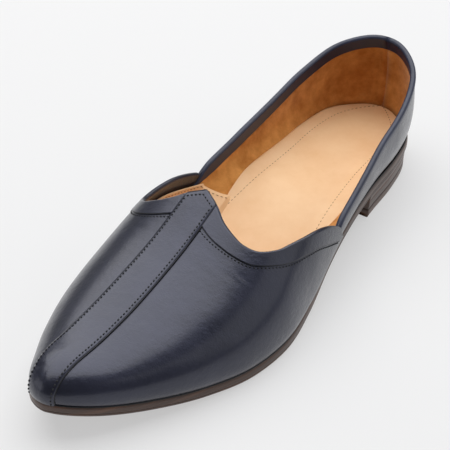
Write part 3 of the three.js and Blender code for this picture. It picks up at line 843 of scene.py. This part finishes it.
def sock_place(side):
    def place(u, v):
        angle = mix(*SOCK_ANGLES, u)
        x, y = feather(angle, side, SOCK_INSET)
        middle = np.clip(LENGTH * share_of(angle), -SOCK_INSET, LENGTH + SOCK_INSET)
        along = mix(middle, y, v)
        at = np.clip(along / LENGTH, 0, 1)
        inside = smooth(0.02, 0.1, at) * (1 - smooth(0.9, 0.98, at))
        rise = SOCK_RISE * smooth(0.6, 1.0, v) * inside
        return np.stack([x * v, along, underside(at) + SOLE + SOCK_LEVEL + rise], -1)
    return place


bm = bmesh.new()
lay_grid(bm, 160, 24, sock_place(LATERAL), flip=True)
lay_grid(bm, 160, 24, sock_place(MEDIAL))
to_object(bm, "sock", tan_calf, node="insole", thick=SOCK_THICK)

# %% [markdown]
# ## Sole and heel
# The sole is a plate of firm leather that follows the feather line 1.2 mm outside it, with a
# rounded, waxed edge. One grid on each side makes the whole plate: from the middle line out
# under the sole, up round its edge, and back over its top. The heel is made the same way, and
# `holes_fill` closes its straight front.

# %% A plate with a shaped edge
def plate_place(side, profile, first_angle=0.0):
    steps = np.linspace(0, 1, len(profile))
    columns = np.array(profile).T

    def place(u, v):
        angle = mix(first_angle, math.pi, u)
        out, share, height, follow = (np.interp(v, steps, column) for column in columns)
        x, y = feather(angle, side, out)
        at = np.clip(y / LENGTH, 0, 1)
        return np.stack([x * share, y, underside(at) * follow + height], -1)
    return place


FACES_A_ROW = 3


def lay_plate(name, profile, material, node, along, first_angle=0.0):
    bm = bmesh.new()
    across = (len(profile) - 1) * FACES_A_ROW
    lay_grid(bm, along, across, plate_place(LATERAL, profile, first_angle), flip=True)
    lay_grid(bm, along, across, plate_place(MEDIAL, profile, first_angle))
    bmesh.ops.remove_doubles(bm, verts=bm.verts, dist=1e-5)
    open_edges = [edge for edge in bm.edges if edge.is_boundary]
    if open_edges:
        bmesh.ops.holes_fill(bm, edges=open_edges)
    bmesh.ops.recalc_face_normals(bm, faces=bm.faces)
    to_object(bm, name, material, node=node)

# %% Sole, heel lifts and top lift
# rows: distance out of the feather line in mm, share of the width, height in mm, and the share
# of the rise of the last that is added to it
SOLE_PROFILE = [
    (0.0, 0.0, 0.02, 1), (0.1, 1.0, 0.02, 1), (0.75, 1.0, 0.25, 1), (1.12, 1.0, 0.8, 1),
    (1.2, 1.0, 1.6, 1), (1.02, 1.0, 1.85, 1), (1.2, 1.0, 2.1, 1), (1.2, 1.0, 3.4, 1),
    (1.1, 1.0, 4.4, 1), (0.8, 1.0, 5.1, 1), (0.1, 1.0, 5.65, 1), (-1.0, 1.0, 5.65, 1),
    (-1.0, 0.0, 5.65, 1),
]
lay_plate("sole_leather", SOLE_PROFILE, sole_leather, "outsole", 200)
HEEL_FRONT = 0.745
HEEL_ANGLE = float(angle_of(HEEL_FRONT))
STACK_PROFILE = [(0.0, 0.0, 5.3, 0), (0.0, 1.0, 5.3, 0), (0.25, 1.0, 8.0, 0.15),
                 (0.1, 1.0, 8.2, 0.16), (0.3, 1.0, 8.4, 0.17), (0.6, 1.0, -0.3, 1),
                 (0.6, 0.0, -0.3, 1)]
lay_plate("heel_lifts", STACK_PROFILE, sole_leather, "heel_stack", 80,
          HEEL_ANGLE)
TOP_PROFILE = [(-0.6, 0.0, 0.0, 0), (-0.6, 1.0, 0.0, 0), (-0.1, 1.0, 0.3, 0),
               (0.0, 1.0, 0.8, 0), (0.0, 1.0, 5.0, 0), (0.0, 0.0, 5.0, 0)]
lay_plate("heel_top_lift", TOP_PROFILE, sole_leather, "heel_top_piece", 80,
          HEEL_ANGLE)

# %% [markdown]
# ## Seams
# A lockstitch shows as a row of short threads that dip into the leather at both ends. One
# thread is a small round capsule; it is copied along the seam's line into one mesh. Beside the
# seam of the strip and of the bands the cut edge of the leather is inked black. A black line
# along the top of the sole is painted shade, for the dark gap where the upper meets the sole.

# %% One stitch, and a row of them
def seam_points(spots, pitch_mm):
    """Places a pitch apart along a line of points, with the direction there."""
    steps = np.linalg.norm(np.diff(spots[:, :3], axis=0), axis=1)
    run = np.concatenate([[0], np.cumsum(steps)])
    stops = np.arange(pitch_mm / 2, run[-1], pitch_mm)
    return np.stack([np.interp(stops, run, spots[:, i]) for i in range(spots.shape[1])], -1)


def sew(name, lines, material, pitch_mm, length_mm, thick_mm):
    """Copies one stitch along each line, turned the way that the line runs there."""
    bm = bmesh.new()
    for line in lines:
        spots = seam_points(line, pitch_mm)
        ways = np.gradient(spots[:, :3], axis=0)
        for spot, way in zip(spots, ways):
            out = Vector(spot[3:6]).normalized()
            along = Vector(way).normalized()
            along = (along - out * along.dot(out)).normalized()
            turn = Matrix((along, out.cross(along), out)).transposed().to_4x4()
            size = Matrix.Diagonal((length_mm / 2, thick_mm / 2, thick_mm / 2, 1))
            middle = Vector(to_frame(spot[:3]))
            place = Matrix.Translation(middle) @ turn @ size @ Matrix.Scale(0.001, 4)
            bmesh.ops.create_icosphere(bm, subdivisions=1, radius=1, matrix=place)
    to_object(bm, name, material)


SHOE_MIDDLE = np.array([0, 150, 20])
UV_STEP = 0.004


def seam_on(place, u, v, lift=0.0):
    """A line of points and outward directions on a piece's own grid."""
    u, v = np.broadcast_arrays(np.asarray(u, float), np.asarray(v, float))
    points = place(u, v)
    du = place(np.clip(u + UV_STEP, 0, 1), v) - place(np.clip(u - UV_STEP, 0, 1), v)
    dv = place(u, np.clip(v + UV_STEP, 0, 1)) - place(u, np.clip(v - UV_STEP, 0, 1))
    out = np.cross(du, dv)
    out /= np.maximum(np.linalg.norm(out, axis=1, keepdims=True), 1e-9)
    out *= np.sign(np.sum(out * (points - SHOE_MIDDLE), axis=1, keepdims=True))
    return np.concatenate([points + out * lift, out], 1)

# %% Seams of the strip
STRIP_SEAM_LANE, STRIP_SEAM_STOP, STRIP_SEAM_END = 0.83, 0.985, 0.988
STRIP_SEAM_LIFT = 0.1
near_edge = 0.5 - 0.5 * STRIP_SEAM_LANE
along_strip = np.linspace(0.0, STRIP_SEAM_STOP, 400)
strip_seams = [seam_on(strip_place, along_strip, lane, lift=STRIP_SEAM_LIFT)
               for lane in (near_edge, 1 - near_edge)]
strip_seams.append(seam_on(strip_place, STRIP_SEAM_END,
                           np.linspace(near_edge, 1 - near_edge, 80), lift=STRIP_SEAM_LIFT))
sew("strip_seams", strip_seams, thread, pitch_mm=2.0, length_mm=1.3, thick_mm=0.8)

# %% Seams of the bands, on the vamp, 1 mm below the lower edge of the band
BELOW_BAND, BAND_SEAM_LIFT = -0.15, 0.05
along_band = np.linspace(0.005, 0.99, 400)
band_seams = []
for side in (LATERAL, MEDIAL):
    at, up = band_spot(along_band, side, BELOW_BAND)
    spots = off_last(angle_of(at), up, side, BAND_SEAM_LIFT)
    edge_at, edge_up = band_row(mix(BAND_START, last_row[side], along_band), side, 0)
    out = last_normal(angle_of(edge_at), edge_up, side)
    band_seams.append(np.concatenate([spots, out], 1))
sew("band_seams", band_seams, thread, pitch_mm=1.9, length_mm=1.25, thick_mm=0.8)

# %% Seam of the sock, 9.5 mm inside its edge in front and 7 mm at the heel
SOCK_SEAM_IN, SOCK_SEAM_LIFT = (9.5, 7), 0.05
along_sock = np.linspace(0.12, 0.985, 500)
sock_seams = []
for side in (LATERAL, MEDIAL):
    width = np.abs(feather(mix(*SOCK_ANGLES, along_sock), side, SOCK_INSET)[0])
    inset = mix(*SOCK_SEAM_IN, smooth(0.5, 0.8, along_sock))
    sock_seams.append(seam_on(sock_place(side), along_sock, np.clip(1 - inset / width, 0, 1),
                              lift=SOCK_SEAM_LIFT))
sew("sock_seam", sock_seams, tan_thread, pitch_mm=2.6, length_mm=1.7, thick_mm=0.4)

# %% Seams of the vamp's lining: down its rear edge and along its top
LINING_SEAM_REAR, LINING_SEAM_FOOT, LINING_SEAM_TOP = 0.993, 0.16, 0.97
LINING_SEAM_IN = -0.75
lining_seams = []
for side in (LATERAL, MEDIAL):
    down_rear = np.linspace(LINING_SEAM_FOOT, LINING_SEAM_TOP, 120)
    along_top = np.linspace(FRONT, LINING_SEAM_REAR, 200)
    lining_seams.append(seam_on(lining_place(side), LINING_SEAM_REAR, down_rear,
                                lift=LINING_SEAM_IN))
    lining_seams.append(seam_on(lining_place(side), along_top, LINING_SEAM_TOP,
                                lift=LINING_SEAM_IN))
sew("lining_seams", lining_seams, tan_thread, pitch_mm=2.4, length_mm=1.6, thick_mm=0.4)

# %% Inked edges beside the seams
FILM_STEP, FILM_SIDES = 1.2, 6


def ink_and_shade_line(name, lines, radius_mm, material):
    """A thin black film along an edge, of extruded rings: edge ink, and painted shade on the sole.
    """
    bm = bmesh.new()
    for line in lines:
        spots = seam_points(line, FILM_STEP)
        rim = bmesh.ops.create_circle(bm, segments=FILM_SIDES, radius=radius_mm * 0.001)["verts"]
        ways = np.gradient(spots[:, :3], axis=0)
        frames = []
        for spot, way in zip(spots, ways):
            out, along = Vector(spot[3:6]).normalized(), Vector(way).normalized()
            turn = Matrix((out.cross(along), out, along)).transposed().to_4x4()
            frames.append(Matrix.Translation(Vector(to_frame(spot[:3]))) @ turn)
        bmesh.ops.transform(bm, matrix=frames[0], verts=rim)
        edges = list({edge for vert in rim for edge in vert.link_edges})
        for before, after in zip(frames, frames[1:]):
            grown = bmesh.ops.extrude_edge_only(bm, edges=edges)["geom"]
            rim = [g for g in grown if isinstance(g, bmesh.types.BMVert)]
            edges = [g for g in grown if isinstance(g, bmesh.types.BMEdge)
                     and all(v in rim for v in g.verts)]
            bmesh.ops.transform(bm, matrix=after @ before.inverted(), verts=rim)
    to_object(bm, name, material)


STRIP_INK_IN, BAND_INK_IN, EDGE_INK = -0.2, -0.25, 0.26
ink_lines = [seam_on(strip_place, along_strip, 1.0, lift=STRIP_INK_IN)]
ink_lines += [seam_on(band_place(side), np.linspace(0.01, 1, 300), 0.0, lift=BAND_INK_IN)
              for side in (LATERAL, MEDIAL)]
ink_and_shade_line("inked_edges", ink_lines, EDGE_INK, ink_and_shade_black)

# %% Painted shade: a black line along the top of the sole, for the dark gap where the upper meets it
SOLE_SHADE_OUT, SOLE_SHADE_RADIUS = 0.3, 0.42
round_sole = np.linspace(0.02, math.pi - 0.02, 500)
sole_shade_lines = []
for side in (LATERAL, MEDIAL):
    x, y = feather(round_sole, side, SOLE_SHADE_OUT)
    height = underside(share_of(round_sole)) + SOLE
    flat = np.zeros(len(round_sole))
    sole_shade_lines.append(np.stack([x, y, height, flat, flat, flat + 1], -1))
ink_and_shade_line("sole_top_painted_shade", sole_shade_lines, SOLE_SHADE_RADIUS, ink_and_shade_black)

# %% [markdown]
# ## Floor, light and camera
# The photo shows the shoe on a pale floor under a broad, soft studio light. The floor glows a
# little, as white paper that is lit from all around does, so the shoe's shadow stays as pale as
# in the photo. The camera keeps the photo's place beside the shoe; it is only turned, and its
# lens is a little shorter, so that the whole of this one shoe fits.

# %% Floor
FLOOR_SIZE = 6
floor_material, tree, shader = start_material("pale_floor", {
    "Base Color": rgb("#A2A2A2"), "Roughness": 0.85, "Specular IOR Level": 0.1,
    "Emission Color": rgb("#FFFFFF"), "Emission Strength": 0.48})
bm = bmesh.new()
bmesh.ops.create_grid(bm, x_segments=1, y_segments=1, size=FLOOR_SIZE)
floor_mesh = bpy.data.meshes.new("floor")
bm.to_mesh(floor_mesh)
bm.free()
floor_mesh.materials.append(floor_material)
floor = bpy.data.objects.new("floor", floor_mesh)
bpy.context.collection.objects.link(floor)

# %% Light
# each light: its name, its place, its width and depth in metres, and its power in watts
LIGHTS = [
    ("key", (-0.5, 0.6, 1.7), 2.6, 2.6, 54),
    ("right_fill", (1.7, 0.9, 1.1), 2.4, 1.6, 9),
    ("left_fill", (-1.5, -1.7, 0.8), 1.6, 1.2, 6),
]
world = bpy.data.worlds.new("studio")
world.use_nodes = True
backdrop = world.node_tree.nodes["Background"]
backdrop.inputs["Color"].default_value = (0.9, 0.92, 1, 1)
backdrop.inputs["Strength"].default_value = 0.18
bpy.context.scene.world = world
bpy.context.scene.view_settings.view_transform = "Standard"


def soft_light(name, place, width, depth, power):
    """A rectangular softbox that looks at the shoe."""
    light = bpy.data.lights.new(name, "AREA")
    light.shape = "RECTANGLE"
    light.size, light.size_y = width, depth
    light.energy = power
    lamp = bpy.data.objects.new(name, light)
    bpy.context.collection.objects.link(lamp)
    lamp.location = place
    lamp.rotation_euler = (-Vector(place)).to_track_quat("-Z", "Y").to_euler()


for light_values in LIGHTS:
    soft_light(*light_values)
print("lights:", [values[0] for values in LIGHTS])

# %% Camera
# the photo's camera, as found by fitting the last to both shoes: its place in metres and its own
# three directions; the view is then turned mostly to the right
CAMERA_PLACE = (0.2768, -0.4134, 0.4015)
AHEAD = Vector((-0.5397, 0.5881, -0.6024))
RIGHT = Vector((0.7368, 0.6761, 0.0))
UP = Vector((-0.4073, 0.4439, 0.7982))
SENSOR_MM, LENS_MM = 36, 99
TURN_RIGHT, TURN_UP = 0.1037, -0.003
camera_data = bpy.data.cameras.new("camera")
camera_data.sensor_width = SENSOR_MM
camera_data.lens = LENS_MM
camera = bpy.data.objects.new("camera", camera_data)
bpy.context.collection.objects.link(camera)
camera.location = CAMERA_PLACE
aim = (AHEAD + TURN_RIGHT * RIGHT + TURN_UP * UP).normalized()
camera.rotation_euler = aim.to_track_quat("-Z", "Y").to_euler()
bpy.context.scene.camera = camera
